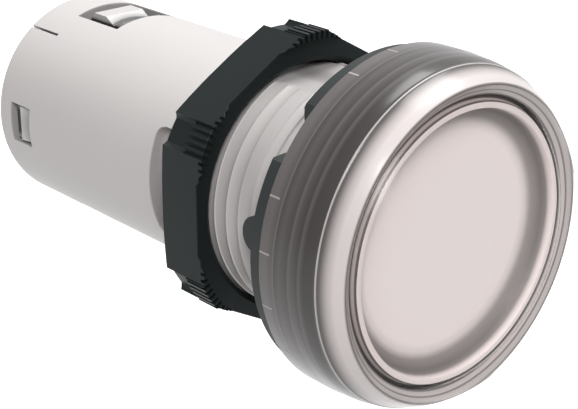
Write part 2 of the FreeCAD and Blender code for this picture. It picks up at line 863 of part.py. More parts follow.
def make_terminal(side, x):
    s = SIZE
    z = s["terminal_z"]
    bar_back = s["chamber_front_y"]
    bar_front = bar_back - s["bar_thickness"]
    top = s["chamber_top"]
    over, weld = s["over"], s["weld"]
    through = s["bar_thickness"] + over * 2
    tag_x = s["tag_x"] if x.value > 0 else -s["tag_x"]

    bar_box = block("bar_box_" + side, x - s["bar_width"] / 2, bar_front, top - s["bar_height"],
                    s["bar_width"], s["bar_thickness"], s["bar_height"])
    tag = block("tag_" + side, tag_x - s["tag_width"] / 2, s["tag_front_y"],
                s["board_thickness"] / 2, s["tag_width"], bar_front - s["tag_front_y"] + weld,
                s["tag_thickness"])
    hole = rod("bar_hole_" + side, s["shank_radius"] + s["shank_clearance"], through,
               x, bar_front - over, z)
    bar = cut("terminal_bar_" + side, joined("bar_blank_" + side, [bar_box, tag]), hole)
    keep(bar, "terminal_bar_" + side)

    plate_front = bar_back + s["plate_gap"]
    plate_box = block("plate_box_" + side, x - s["plate_width"] / 2, plate_front,
                      z - s["plate_width"] / 2, s["plate_width"], s["plate_thickness"],
                      s["plate_width"])
    plate_hole = rod("plate_hole_" + side, s["shank_radius"] + s["shank_clearance"], through,
                     x, plate_front - over, z)
    keep(cut("clamp_plate_" + side, plate_box, plate_hole), "clamp_plate_" + side)

    head_y = plate_front + s["plate_thickness"] + s["head_gap"]
    head = rod("head_" + side, s["head_radius"], s["head_height"], x, head_y, z)
    shank = rod("shank_" + side, s["shank_radius"], head_y - s["shank_front_y"] + weld,
                x, s["shank_front_y"], z)
    slot_y = head_y + s["head_height"] - s["slot_depth"]
    slots = []
    for name, width, height in (
        ("slot_across_", s["head_radius"] * 3, s["slot_width"]),
        ("slot_upright_", s["slot_width"], s["head_radius"] * 3),
    ):
        slots.append(block(name + side, x - width / 2, slot_y, z - height / 2,
                           width, s["slot_depth"] + over, height))
    screw = cut("terminal_screw_" + side, joined("screw_blank_" + side, [head, shank]),
                joined("screw_slots_" + side, slots))
    keep(screw, "terminal_screw_" + side)


# Boards and electronic parts

def make_lamp_board():
    """The round board on the flange, with two holes for the pins."""
    s = SIZE
    thickness = s["lamp_board_thickness"]
    front = s["flange_front_y"] - thickness
    disc = rod("lamp_disc", s["lamp_board_radius"], thickness, 0, front, 0)
    pin_z = s["board_thickness"] / 2 + s["pin_radius"]
    spots = (-s["pin_spread"], s["pin_spread"])
    holes = [rod("pin_hole_%d" % index, s["pin_radius"], thickness * 3, x, front - thickness, pin_z)
             for index, x in enumerate(spots)]
    keep(cut("lamp_board", disc, joined("pin_holes", holes)), "lamp_board")

    chips = []
    width, height = s["lamp_width"], s["lamp_height"]
    for index in range(LAMP_COUNT):
        angle = size_of((index + 0.5) * 360 / LAMP_COUNT)
        x = s["lamp_ring_radius"] * cosine(angle) - width / 2
        z = s["lamp_ring_radius"] * sine(angle) - width / 2
        chips.append(block("led_%d" % index, x, front - height, z, width, height, width))
    keep(grouped("led_chips", chips), "led_chips")

    pins = [rod("pin_%d" % index, s["pin_radius"], s["pin_length"], x,
                front - s["pin_overhang"], pin_z)
            for index, x in enumerate(spots)]
    keep(grouped("board_pins", pins), "board_pins")


def make_driver_board():
    """The long board down the middle of the tube and what is soldered to it."""
    s = SIZE
    width, thickness = s["board_width"], s["board_thickness"]
    top = thickness / 2
    bottom = -top
    length = s["board_back_y"] - s["board_front_y"]
    board = block("driver_board", -width / 2, s["board_front_y"], bottom, width, length, thickness)
    keep(board, "driver_board")

    case = block("capacitor_case", -s["film_width"] / 2, s["film_front_y"], top,
                 s["film_width"], s["film_length"], s["film_height"])
    corners = DOCUMENT.addObject("Part::Fillet", "film_capacitor")
    corners.Base = case
    DOCUMENT.recompute()
    upright = [index for index, edge in enumerate(case.Shape.Edges, start=1)
               if edge.BoundBox.ZLength > s["film_height"].value - s["film_edge"].value]
    radius = s["film_edge"].value
    corners.Edges = [(index, radius, radius) for index in upright]
    keep(corners, "film_capacitor")

    disc = part_object("Cylinder", "varistor", Radius=s["varistor_radius"],
                       Height=s["varistor_height"])
    place(disc, 0, s["varistor_y"], top)
    keep(disc, "varistor")

    rectifier = block("bridge_rectifier", -s["rectifier_width"] / 2, s["rectifier_front_y"],
                      bottom - s["rectifier_height"], s["rectifier_width"],
                      s["rectifier_length"], s["rectifier_height"])
    keep(rectifier, "bridge_rectifier")

    resistors = []
    for index in range(RESISTOR_COUNT):
        tube = part_object("Cylinder", "resistor_%d" % index, Radius=s["resistor_radius"],
                           Height=s["resistor_length"])
        place(tube, -s["resistor_length"] / 2, s["resistor_y"] + index * s["resistor_step"],
              bottom - s["resistor_radius"], ACROSS)
        resistors.append(tube)
    keep(grouped("series_resistors", resistors), "series_resistors")

    can = rod("smoothing_capacitor", s["smoother_radius"], s["smoother_length"],
              0, s["smoother_front_y"], bottom - s["smoother_radius"])
    keep(can, "smoothing_capacitor")


def check_and_write():
    """Refuse a failed object or an empty or invalid solid, then write every node."""
    DOCUMENT.recompute()
    for item in DOCUMENT.Objects:
        if "Invalid" in item.State or "Error" in item.State:
            raise RuntimeError("failed object: %s %s" % (item.Name, item.State))
    for node in NODES:
        shape = node.Shape
        if shape.isNull() or not shape.isValid() or not shape.Solids:
            raise RuntimeError("bad shape: " + node.Label)
    os.makedirs("parts", exist_ok=True)
    for node in NODES:
        shape = node.Shape
        shape.exportStep("parts/%s.step" % node.Label)
        box = shape.optimalBoundingBox(False)
        print("%-24s solids %2d volume %9.2f  x %6.2f %6.2f  y %6.2f %6.2f  z %6.2f %6.2f" % (
            node.Label, len(shape.Solids), shape.Volume,
            box.XMin, box.XMax, box.YMin, box.YMax, box.ZMin, box.ZMax))


make_housing()
make_lens()
make_diffuser()
make_reflector()
make_seal()
make_gasket()
make_nut()
make_terminal_block()
make_rear_cover()
make_terminal("left", -SIZE["terminal_x"])
make_terminal("right", SIZE["terminal_x"])
make_lamp_board()
make_driver_board()
check_and_write()
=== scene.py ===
import bmesh
import bpy
import math
from mathutils import Matrix, Vector


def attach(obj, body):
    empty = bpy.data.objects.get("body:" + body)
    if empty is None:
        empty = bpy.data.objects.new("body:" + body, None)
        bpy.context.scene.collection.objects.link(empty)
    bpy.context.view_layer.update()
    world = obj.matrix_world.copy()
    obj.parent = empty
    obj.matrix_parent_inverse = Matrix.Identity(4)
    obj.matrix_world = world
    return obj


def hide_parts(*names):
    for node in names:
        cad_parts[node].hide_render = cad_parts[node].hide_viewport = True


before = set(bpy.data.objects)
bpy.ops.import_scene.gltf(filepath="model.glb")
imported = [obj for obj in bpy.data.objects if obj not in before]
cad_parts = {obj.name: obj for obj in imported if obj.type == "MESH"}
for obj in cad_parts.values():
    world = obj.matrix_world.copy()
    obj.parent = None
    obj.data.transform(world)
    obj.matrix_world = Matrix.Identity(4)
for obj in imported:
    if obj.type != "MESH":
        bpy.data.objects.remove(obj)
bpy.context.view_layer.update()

# Sizes in millimetres, the same as the light's own drawing.
# The axis runs along Y, the lens faces -Y and +Z is up.

MM = 0.001
TURN_STEPS = 288
HOUSING_STEPS = 360

BODY_RADIUS = 10.3
BODY_END = 42.6
BODY_RIM_ROUND = 0.4
THREAD_RADIUS = 10.9
THREAD_PITCH = 1.5
THREAD_FRONT = 3.2
THREAD_END = 15.4
THREAD_CREST = 5.8
THREAD_TURNS = range(-2, 9)
THREAD_START_ANGLE = 65.0
THREAD_FADE_ANGLE = 40.0
THREAD_END_DEPTH = 0.2
THREAD_RUN_OUT = 0.6
# how far ahead of a crest, and how deep, to the next crest
THREAD_PROFILE = ((1.44, 0.03), (1.3, 0.14), (1.1, 0.20), (0.8, 0.22), (0.5, 0.20), (0.25, 0.15),
                  (0.06, 0.09), (0.0, 0.0))
NECK_RADIUS = 10.45
FLANGE_RADIUS = 13.5
FLANGE_FRONT = -4.2
FLANGE_BACK = -1.6
FRONT_BORE = 8.4
REAR_BORE = 9.1
BORE_STEP = 19.0
BARREL_FLAT = 10.15
POCKET_RADIUS = 9.3
POCKET_SIDES = (60.0, 120.0)
POCKET_END = 18.2
POCKET_ROUND = 0.9
POCKET_CUT_RADIUS = 12.0
# the low and high corner of each opening's cutter
LATCH_WINDOW = ((-3.35, 31.8, 6), (3.35, 38.2, 12))
SIDE_WINDOWS = (((-12, 37.2, -1.95), (-8, 40.5, 1.95)), ((8, 37.2, -1.95), (12, 40.5, 1.95)))
WIRE_ENTRIES = (((-6.6, 31.0, -12), (-2.2, 35.6, -5)), ((2.2, 31.0, -12), (6.6, 35.6, -5)))
FLAP_SLIT = ((-0.13, 37.9, 8), (0.13, 43.6, 12))
SLIT_ANGLE = 35.5

GASKET_RADIUS = 14.35
GASKET_BORE = 10.55
GASKET_FRONT = -1.6
GASKET_GAP = (36.5, 57.0)
GASKET_GAP_SLANT = 6.5
GASKET_GAP_DEPTH = 1.95
LUG_ANGLE = 86.0
LUG_HALF_WIDTH = 1.52
LUG_RADII = (10.95, 12.1)
LUG_FOOT = -0.8
LUG_END = 3.4

NUT_FRONT = 8.6
NUT_BACK = 13.2
NUT_APOTHEM = 12.6
NUT_FLAT_EDGE = 24.15
NUT_LIP_DROP = 0.1
NUT_CORNER = 13.9
NUT_WAIST = 13.31
# degrees over which the nut falls from a flat's edge to its waist
NUT_WAIST_SLOPE = 0.95
NUT_BORE = 10.96
NUT_CHAMFER = 0.5
NUT_EDGE = 0.06
NUT_BEVEL = 0.32
NUT_BEVEL_WIDTH = 1.2
NUT_LAND = 0.8
NUT_LAND_RADIUS = 13.2
NUT_LAND_SLOPE = 0.2
FLAT_GROOVES = (20.0, 22.5)
RIB_PITCH = 2.5
RIB_HALF_WIDTH = 0.58
RIB_WALL = 0.03
RIB_DEPTH = 0.45
RIB_END = 10.3

LENS_RADIUS = 14.83
LENS_BORE = 13.6
LENS_WALL = 1.3
SHOULDER_Y = -5.17
SHOULDER_CENTRE = 7.02
SHOULDER_RADIUS = 7.7
SHOULDER_SWEEP = 50.0
BROW_RADIUS = 3.6
BROW_SWEEP = 84.0
LINE_ANGLE = 36.0
LINE_HALF_WIDTH = 1.2
LINE_DEPTH = 0.12
# how far the clear window's edge runs on under the shoulder, in degrees and in depth
WINDOW_LAP = 0.5
WINDOW_LAP_DEPTH = 0.06
INNER_RINGS = (6.0, 13.0, 20.0, 27.0)
INNER_RING_RISE = 0.14
INNER_RING_WIDTH = 2.4
SMOKE_ANGLE = 18.0
SMOKE_RIDGE = 0.05
SMOKE_RIDGE_TOP = 0.3
SMOKE_RIDGE_FOOT = 0.9
CLIP_MARKS = (5.2, 22.0, 67.0, 84.3, 102.3, 120.0)
CLIP_MARK_TURN = 0.3
CLIP_MARK_DEPTH = 0.3
CLIP_MARK_BACK = -1.75
CLIP_MARK_FRONT = -2.85

DIFFUSER_RADIUS = 12.6
DIFFUSER_WALL = 1.0
DIFFUSER_BACK = -5.2
DIFFUSER_SHOULDER = -7.05
LEDGE_RADIUS = 12.0
LEDGE_Y = -8.55
BRIM_OUTER = 11.7
BRIM_INNER = 11.2
BRIM_Y = -9.2
DISH_RADIUS = 9.4
DISH_Y = -7.4
DISH_BACK = 10.2

CAMERA_LENS = 93.49
CAMERA_PLACE = (-82.76, -80.87, 48.19)
CAMERA_RIGHT = (0.7441, -0.6681, 0.0)
CAMERA_AIM = (0.6179, 0.6882, -0.3803)


# Shapes

def add_piece(name, vertices, faces, body, material, slot, nodes=(), sharp=32.0):
    """A named piece from points in millimetres, riding on its body."""
    mesh = bpy.data.meshes.new(name)
    mesh.from_pydata([Vector(point) * MM for point in vertices], [], faces)
    mesh.validate()
    face_outwards(mesh)
    mesh.materials.append(material)
    mesh.polygons.foreach_set("use_smooth", [True] * len(mesh.polygons))
    mesh.set_sharp_from_angle(angle=math.radians(sharp))
    piece = bpy.data.objects.new(name, mesh)
    bpy.context.scene.collection.objects.link(piece)
    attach(piece, body)
    if nodes:
        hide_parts(*nodes)
    return piece


def face_outwards(mesh):
    """Join points that lie on each other and turn every face outwards."""
    shell = bmesh.new()
    shell.from_mesh(mesh)
    bmesh.ops.remove_doubles(shell, verts=shell.verts, dist=0.0005 * MM)
    bmesh.ops.recalc_face_normals(shell, faces=shell.faces)
    shell.to_mesh(mesh)
    shell.free()


def around(radius, angle, y):
    """A point at a radius and an angle from the top, towards the near side."""
    turn = math.radians(angle)
    return (-radius * math.sin(turn), y, radius * math.cos(turn))


def even_angles():
    """The angles of the steps that the lens, dish and gasket are turned in."""
    return [360.0 * index / TURN_STEPS for index in range(TURN_STEPS)]


def turned_solid(rows, angles):
    """Points and faces of a profile of (radius, y) that starts and ends on the axis."""
    points = [(0, rows[0][1], 0)]
    points += [around(radius, angle, y) for radius, y in rows[1:-1] for angle in angles]
    points.append((0, rows[-1][1], 0))
    count = len(angles)
    faces = [tuple(corner + 1 for corner in face)
             for face in loop_faces(len(rows) - 2, count, closed=False)]
    last = len(points) - 1
    base = last - count
    for step in range(count):
        beside = (step + 1) % count
        faces.append((0, 1 + beside, 1 + step))
        faces.append((last, base + step, base + beside))
    return points, faces


def turned_ring(rows, angles):
    """Points and faces of a closed profile of (radius, y) that stays off the axis."""
    points = [around(radius, angle, y) for radius, y in rows for angle in angles]
    return points, loop_faces(len(rows), len(angles))


def loop_faces(rows, steps, closed=True):
    """Quads between rows of points round the axis, the last row joined to the first."""
    faces = []
    for row in range(rows if closed else rows - 1):
        following = (row + 1) % rows
        for step in range(steps):
            beside = (step + 1) % steps
            faces.append((row * steps + step, row * steps + beside,
                          following * steps + beside, following * steps + step))
    return faces


def on_arc(centre, radius, angle):
    """A point in the (radius, y) plane. Angles run from the rim towards the lens face."""
    turn = math.radians(angle)
    return (centre[0] + radius * math.cos(turn), centre[1] - radius * math.sin(turn))


def arc_points(centre, radius, start, stop, count):
    """Points along an arc in the (radius, y) plane, both ends with them."""
    return [on_arc(centre, radius, start + (stop - start) * index / count)
            for index in range(count + 1)]


# Housing

def housing_front():
    """The flange and neck, from the bore to the start of the thread."""
    return [(FRONT_BORE, FLANGE_FRONT), (FLANGE_RADIUS, FLANGE_FRONT),
            (FLANGE_RADIUS, FLANGE_BACK), (NECK_RADIUS, FLANGE_BACK), (NECK_RADIUS, THREAD_FRONT)]


def housing_rear():
    """The rear tube, from the end of the thread round its rim and back through the bore."""
    rows = [(BODY_RADIUS, THREAD_END)]
    steps = 24
    for index in range(1, steps + 1):
        rows.append((BODY_RADIUS,
                     THREAD_END + (BODY_END - BODY_RIM_ROUND - THREAD_END) * index / steps))
    for index in range(1, 9):
        angle = math.radians(90 * index / 8)
        rows.append((BODY_RADIUS - BODY_RIM_ROUND + BODY_RIM_ROUND * math.cos(angle),
                     BODY_END - BODY_RIM_ROUND + BODY_RIM_ROUND * math.sin(angle)))
    return rows + [(REAR_BORE, BODY_END), (REAR_BORE, BORE_STEP), (FRONT_BORE, BORE_STEP)]


def thread_rows():
    """Rows that run along the thread: y at the top of the barrel, depth and turn."""
    return [(THREAD_CREST + THREAD_PITCH * turn - ahead, depth, turn)
            for turn in THREAD_TURNS for ahead, depth in THREAD_PROFILE]


def thread_place(row, angle):
    """Radius and y on the thread, a right-handed one. Its first groove fades in."""
    y, depth, turn = row
    y -= THREAD_PITCH * angle / 360.0
    if turn == 0:
        depth *= min(max((angle - THREAD_START_ANGLE) / THREAD_FADE_ANGLE, 0.0), 1.0)
    if y <= THREAD_FRONT or y >= THREAD_END:
        return THREAD_RADIUS - THREAD_END_DEPTH, min(max(y, THREAD_FRONT), THREAD_END)
    return THREAD_RADIUS - depth * min((THREAD_END - y) / THREAD_RUN_OUT, 1.0), y


def make_housing(material):
    """Flange, threaded barrel with a flat on its top, and rear tube, in one moulding."""
    steps = HOUSING_STEPS
    front, thread, rear = housing_front(), thread_rows(), housing_rear()
    points = []
    for row in front + thread + rear:
        for index in range(steps):
            angle = 360.0 * index / steps
            radius, place_y = thread_place(row, angle) if len(row) == 3 else row
            x, y, z = around(radius, angle, place_y)
            if radius > FRONT_BORE + 1 and FLANGE_BACK < y <= THREAD_END and row not in rear:
                z = min(z, BARREL_FLAT)
            points.append((x, y, z))
    rows = len(front) + len(thread) + len(rear)
    first, last, turn = len(front), len(front) + len(thread) - 1, len(THREAD_PROFILE)
    faces = []
    for face in loop_faces(rows, steps):
        row, column = divmod(face[0], steps)
        if column == steps - 1 and first <= row < last:
            # the thread goes on one turn further along the axis
            if row < first + turn:
                continue
            face = (face[0], face[1] - turn * steps, face[2] - turn * steps, face[3])
        faces.append(face)
    housing = add_piece("housing_moulding", points, faces, "housing_body", material,
                        nodes=("housing",), slot="housing")
    cut_openings(housing)
    housing.data.set_sharp_from_angle(angle=math.radians(16))


def pocket_cutter(side):
    """Cuts a side pocket: a shallow recess round the tube with round rear corners."""
    low, high = POCKET_SIDES
    start = THREAD_END + 0.01
    points = []
    count = 48
    for index in range(count + 1):
        angle = low + (high - low) * index / count
        inset = math.radians(min(angle - low, high - angle)) * POCKET_RADIUS
        short = max(POCKET_ROUND - inset, 0.0)
        stop = POCKET_END - POCKET_ROUND + math.sqrt(POCKET_ROUND ** 2 - short ** 2)
        for radius, y in ((POCKET_RADIUS, start), (POCKET_RADIUS, stop),
                          (POCKET_CUT_RADIUS, stop), (POCKET_CUT_RADIUS, start)):
            x, y, z = around(radius, angle, y)
            points.append((x * side, y, z))
    faces = []
    for index in range(count):
        for corner in range(4):
            beside = (corner + 1) % 4
            faces.append((index * 4 + corner, index * 4 + beside,
                          index * 4 + 4 + beside, index * 4 + 4 + corner))
    faces += [(3, 2, 1, 0), tuple(count * 4 + corner for corner in range(4))]
    return cutter_mesh(points, faces)


def cutter_mesh(points, faces):
    """A closed shape that cuts an opening and is taken away afterwards."""
    mesh = bpy.data.meshes.new("opening_cutter")
    mesh.from_pydata([Vector(point) * MM for point in points], [], faces)
    face_outwards(mesh)
    cutter = bpy.data.objects.new("opening_cutter", mesh)
    bpy.context.scene.collection.objects.link(cutter)
    return cutter


def box_points(low, high):
    """The eight corners of a box, in the order that BOX_FACES takes them."""
    return [(x, y, z) for x in (low[0], high[0]) for y in (low[1], high[1])
            for z in (low[2], high[2])]


BOX_FACES = [(0, 1, 3, 2), (4, 6, 7, 5), (0, 4, 5, 1), (2, 3, 7, 6), (0, 2, 6, 4), (1, 5, 7, 3)]


def cutter_box(low, high, turn=0.0):
    """A box that cuts, turned round the light's axis from the top towards the near side."""
    spin = Matrix.Rotation(math.radians(-turn), 4, "Y")
    return cutter_mesh([spin @ Vector(point) for point in box_points(low, high)], BOX_FACES)


def cut_openings(housing):
    """Latch window, flap slits, side windows, wire windows and side pockets."""
    cutters = [cutter_box(*window) for window in (LATCH_WINDOW, *SIDE_WINDOWS, *WIRE_ENTRIES)]
    cutters += [pocket_cutter(side) for side in (1, -1)]
    cutters += [cutter_box(*FLAP_SLIT, turn=side * SLIT_ANGLE) for side in (-1, 1)]
    group = bpy.data.collections.new("opening_cutters")
    for cutter in cutters:
        group.objects.link(cutter)
    openings = housing.modifiers.new("openings", "BOOLEAN")
    openings.operation = "DIFFERENCE"
    openings.solver = "EXACT"
    openings.operand_type = "COLLECTION"
    openings.collection = group
    bake_modifiers(housing)
    for cutter in cutters:
        bpy.data.objects.remove(cutter)
    bpy.data.collections.remove(group)


def bake_modifiers(piece):
    """Put what the modifiers make into the piece's own mesh."""
    graph = bpy.context.evaluated_depsgraph_get()
    mesh = bpy.data.meshes.new_from_object(piece.evaluated_get(graph))
    piece.modifiers.clear()
    piece.data = mesh


# Lens, diffuser, gasket and nut

def shoulder_point(inset, angle):
    """A point on the lens's round shoulder, moved inwards by inset."""
    return on_arc((SHOULDER_CENTRE, SHOULDER_Y), SHOULDER_RADIUS - inset, angle)


def shoulder_points(inset, start, stop, count):
    """A stretch of the lens's round shoulder, moved inwards by inset."""
    return arc_points((SHOULDER_CENTRE, SHOULDER_Y), SHOULDER_RADIUS - inset, start, stop, count)


def front_points(inset, count):
    """The lens's front from the shoulder to its middle, moved inwards by inset."""
    sweep, end = SHOULDER_SWEEP, BROW_SWEEP
    step = SHOULDER_RADIUS - BROW_RADIUS
    brow = (SHOULDER_CENTRE + step * math.cos(math.radians(sweep)),
            SHOULDER_Y - step * math.sin(math.radians(sweep)))
    points = arc_points(brow, BROW_RADIUS - inset, sweep, end, count)[1:]
    crown = points[-1][0] / math.cos(math.radians(end))
    centre = (0.0, points[-1][1] + crown * math.sin(math.radians(end)))
    points += arc_points(centre, crown, end, 90.0, count)[1:-1]
    points.append((0.0, centre[1] - crown))
    return points


def make_lens_window(material):
    """The clear front of the lens, inside the fine line on its shoulder."""
    edge = LINE_ANGLE + LINE_HALF_WIDTH
    rows = front_points(0, 24)[::-1]
    rows += shoulder_points(0, SHOULDER_SWEEP, edge, 12)
    rows.append(shoulder_point(LINE_DEPTH, LINE_ANGLE))
    rows.append(shoulder_point(LINE_DEPTH + WINDOW_LAP_DEPTH, LINE_ANGLE - WINDOW_LAP))
    rows += shoulder_points(LENS_WALL, LINE_ANGLE - WINDOW_LAP, SHOULDER_SWEEP, 12)
    rows += front_points(LENS_WALL, 24)
    points, faces = turned_solid(rows, even_angles())
    add_piece("lens_window", points, faces, "housing_body", material,
              nodes=("lens_cap",), slot="lens")


def shoulder_inside():
    """The inside of the shoulder, from its rim to the fine line, with low round rings."""
    points = []
    count = 90
    for index in range(count + 1):
        angle = LINE_ANGLE * index / count
        rise = 0.0
        for middle in INNER_RINGS:
            off = (angle - middle) / (INNER_RING_WIDTH / 2)
            rise = max(rise, INNER_RING_RISE * (1 - off * off))
        points.append(shoulder_point(LENS_WALL + rise, angle))
    return points


def make_lens_shoulder(material):
    """The satin shoulder and smoky skirt of the lens, behind the fine line."""
    start = LINE_ANGLE - LINE_HALF_WIDTH
    rows = [shoulder_point(LINE_DEPTH, LINE_ANGLE)]
    rows += shoulder_points(0, start, SMOKE_ANGLE + SMOKE_RIDGE_FOOT, 12)
    rows.append(shoulder_point(-SMOKE_RIDGE, SMOKE_ANGLE + SMOKE_RIDGE_TOP))
    rows.append(shoulder_point(-SMOKE_RIDGE, SMOKE_ANGLE - SMOKE_RIDGE_TOP))
    rows += shoulder_points(0, SMOKE_ANGLE - SMOKE_RIDGE_FOOT, 0, 12)
    rows += [(LENS_RADIUS - 0.01, SHOULDER_Y + 1.0), (LENS_RADIUS - 0.01, FLANGE_BACK - 0.15),
             (LENS_RADIUS - 0.15, FLANGE_BACK), (LENS_BORE, FLANGE_BACK),
             (LENS_BORE, SHOULDER_Y + 0.3)]
    rows += shoulder_inside()
    points, faces = turned_ring(rows, even_angles())
    add_piece("lens_shoulder", points, faces, "housing_body", material, slot="lens")


def make_clip_marks(material):
    """Short bright lines at the rim of the skirt, where its clips are moulded."""
    points, faces = [], []
    for mark in CLIP_MARKS:
        base = len(points)
        points += [around(radius, mark + turn, y)
                   for radius in (LENS_RADIUS - CLIP_MARK_DEPTH, LENS_RADIUS)
                   for turn in (-CLIP_MARK_TURN, CLIP_MARK_TURN)
                   for y in (CLIP_MARK_FRONT, CLIP_MARK_BACK)]
        faces += [tuple(base + corner for corner in face) for face in BOX_FACES]
    add_piece("lens_clip_marks", points, faces, "housing_body", material, slot="lens")


def make_diffuser(material):
    """A dish: a flat floor that bends up to a low brim, on a wall that widens to its rim."""
    bend = BRIM_INNER - DISH_RADIUS
    rows = [(0, DISH_Y), (DISH_RADIUS / 2, DISH_Y)]
    for index in range(25):
        turn = math.radians(90.0 * index / 24)
        rows.append((DISH_RADIUS + bend * math.sin(turn), BRIM_Y + bend * math.cos(turn)))
    rows += [(BRIM_INNER + 0.06, BRIM_Y - 0.04), (BRIM_OUTER - 0.06, BRIM_Y - 0.04),
             (BRIM_OUTER, BRIM_Y), (LEDGE_RADIUS, LEDGE_Y),
             (DIFFUSER_RADIUS, DIFFUSER_SHOULDER), (DIFFUSER_RADIUS, DIFFUSER_BACK),
             (DIFFUSER_RADIUS - DIFFUSER_WALL, DIFFUSER_BACK),
             (DIFFUSER_RADIUS - DIFFUSER_WALL, DIFFUSER_SHOULDER),
             (DISH_BACK, DISH_Y + DIFFUSER_WALL), (0, DISH_Y + DIFFUSER_WALL)]
    points, faces = turned_solid(rows, even_angles())
    add_piece("diffuser_dish", points, faces, "housing_body", material,
              nodes=("diffuser_cup",), slot="diffuser")


def gasket_angles():
    """Angles round the gasket, with close pairs at the notch's slanted ends."""
    low, high = GASKET_GAP
    edges = [low - 0.05, low, low + GASKET_GAP_SLANT, high - GASKET_GAP_SLANT, high, high + 0.05]
    angles = [angle for angle in even_angles() if all(abs(angle - edge) > 0.4 for edge in edges)]
    return sorted(angles + edges)


def gasket_reach(angle):
    """The gasket's outer radius: round, with one flat notch with slanted ends."""
    low, high = GASKET_GAP
    depth = min(max(min(angle - low, high - angle) / GASKET_GAP_SLANT, 0.0), 1.0)
    return GASKET_RADIUS - GASKET_GAP_DEPTH * depth


def make_gasket(material):
    """The rubber ring with its notch, and the lug that stands back from it."""
    angles = gasket_angles()
    rows = [(GASKET_BORE, -0.15), (GASKET_BORE, GASKET_FRONT), (GASKET_RADIUS, GASKET_FRONT),
            (GASKET_RADIUS, -0.2), (GASKET_RADIUS - 0.2, 0.0), (GASKET_BORE + 0.15, 0.0)]
    points = [around(min(radius, gasket_reach(angle)), angle, y)
              for radius, y in rows for angle in angles]
    faces = loop_faces(len(rows), len(angles))
    add_piece("gasket_ring", points, faces, "housing_body", material,
              nodes=("panel_gasket",), slot="gasket")
    add_piece("gasket_lug", *lug_shape(), "housing_body", material, slot="gasket")


def lug_shape():
    """A short tongue with a round end, that stands back from the gasket."""
    turn = math.radians(LUG_ANGLE)
    across = Vector((-math.cos(turn), 0, -math.sin(turn)))
    outline = [(-LUG_HALF_WIDTH, LUG_FOOT)]
    for index in range(17):
        bend = math.radians(180.0 - 180.0 * index / 16)
        outline.append((LUG_HALF_WIDTH * math.cos(bend),
                        LUG_END - LUG_HALF_WIDTH + LUG_HALF_WIDTH * math.sin(bend)))
    outline.append((LUG_HALF_WIDTH, LUG_FOOT))
    points = [Vector(around(radius, LUG_ANGLE, y)) + across * offset
              for radius in LUG_RADII for offset, y in outline]
    count = len(outline)
    faces = [tuple(range(count)), tuple(range(count * 2 - 1, count - 1, -1))]
    faces += [(step, (step + 1) % count, count + (step + 1) % count, count + step)
              for step in range(count)]
    return points, faces


def waist_radius(inset, lip):
    """The nut's outer radius behind its ribs, at a number of degrees in from a flat's edge."""
    fall = min(max(inset / NUT_WAIST_SLOPE, 0.0), 1.0)
    return lip - NUT_LIP_DROP - (lip - NUT_LIP_DROP - NUT_WAIST) * fall


def nut_columns():
    """Angles round the nut, each with its outer radius ahead of and behind the ribs' end."""
    edge = NUT_FLAT_EDGE
    # a rib's two walls: side, offset from the wall's middle, and whether it is down in the groove
    walls = ((-1, -RIB_WALL, 0), (-1, RIB_WALL, 1), (1, -RIB_WALL, 1), (1, RIB_WALL, 0))
    flat = [0.0, 5.0, 10.0, 14.25, 15.8, 17.35]
    flat += [groove + side * RIB_HALF_WIDTH + off for groove in FLAT_GROOVES for side, off, _ in walls]
    columns = []
    for side in range(6):
        middle = 30.0 + 60.0 * side
        for off in sorted({sign * off for off in flat for sign in (-1, 1)}):
            reach = NUT_APOTHEM / math.cos(math.radians(off))
            columns.append((middle + off, reach, reach))
        lip = NUT_APOTHEM / math.cos(math.radians(edge))
        start, stop = middle + edge, middle + 60.0 - edge
        columns += [(start - 0.2, lip - 0.02, lip - 0.02), (start, lip - 0.08, lip - 0.08),
                    (start + 0.05, NUT_CORNER, lip - NUT_LIP_DROP)]
        for step in range(-2, 3):
            for rib_side, off, cut in walls:
                angle = middle + 30.0 + step * RIB_PITCH + rib_side * RIB_HALF_WIDTH + off
                inset = min(angle - start, stop - angle)
                columns.append((angle, NUT_CORNER - RIB_DEPTH * cut, waist_radius(inset, lip)))
        columns += [(stop - 0.05, NUT_CORNER, lip - NUT_LIP_DROP), (stop, lip - 0.08, lip - 0.08),
                    (stop + 0.2, lip - 0.02, lip - 0.02)]
    return sorted(columns)


def in_groove(angle, radius):
    """Whether a place on the nut's front step lies in a groove between two teeth."""
    off = abs((angle + RIB_PITCH / 2) % RIB_PITCH - RIB_PITCH / 2)
    return off < RIB_HALF_WIDTH and radius > NUT_LAND_RADIUS - 0.01


def nut_front(radius):
    """Where the nut's front is at a radius: its corners stand further forward."""
    rise = min(max((radius - NUT_LAND_RADIUS) / NUT_LAND_SLOPE + 1.0, 0.0), 1.0)
    return NUT_FRONT - NUT_LAND * rise


def nut_back(radius):
    """Where the nut's back is at a radius: its corners are bevelled."""
    fall = min(max((radius - NUT_CORNER + NUT_BEVEL_WIDTH) / NUT_BEVEL_WIDTH, 0.0), 1.0)
    return NUT_BACK - NUT_BEVEL * fall


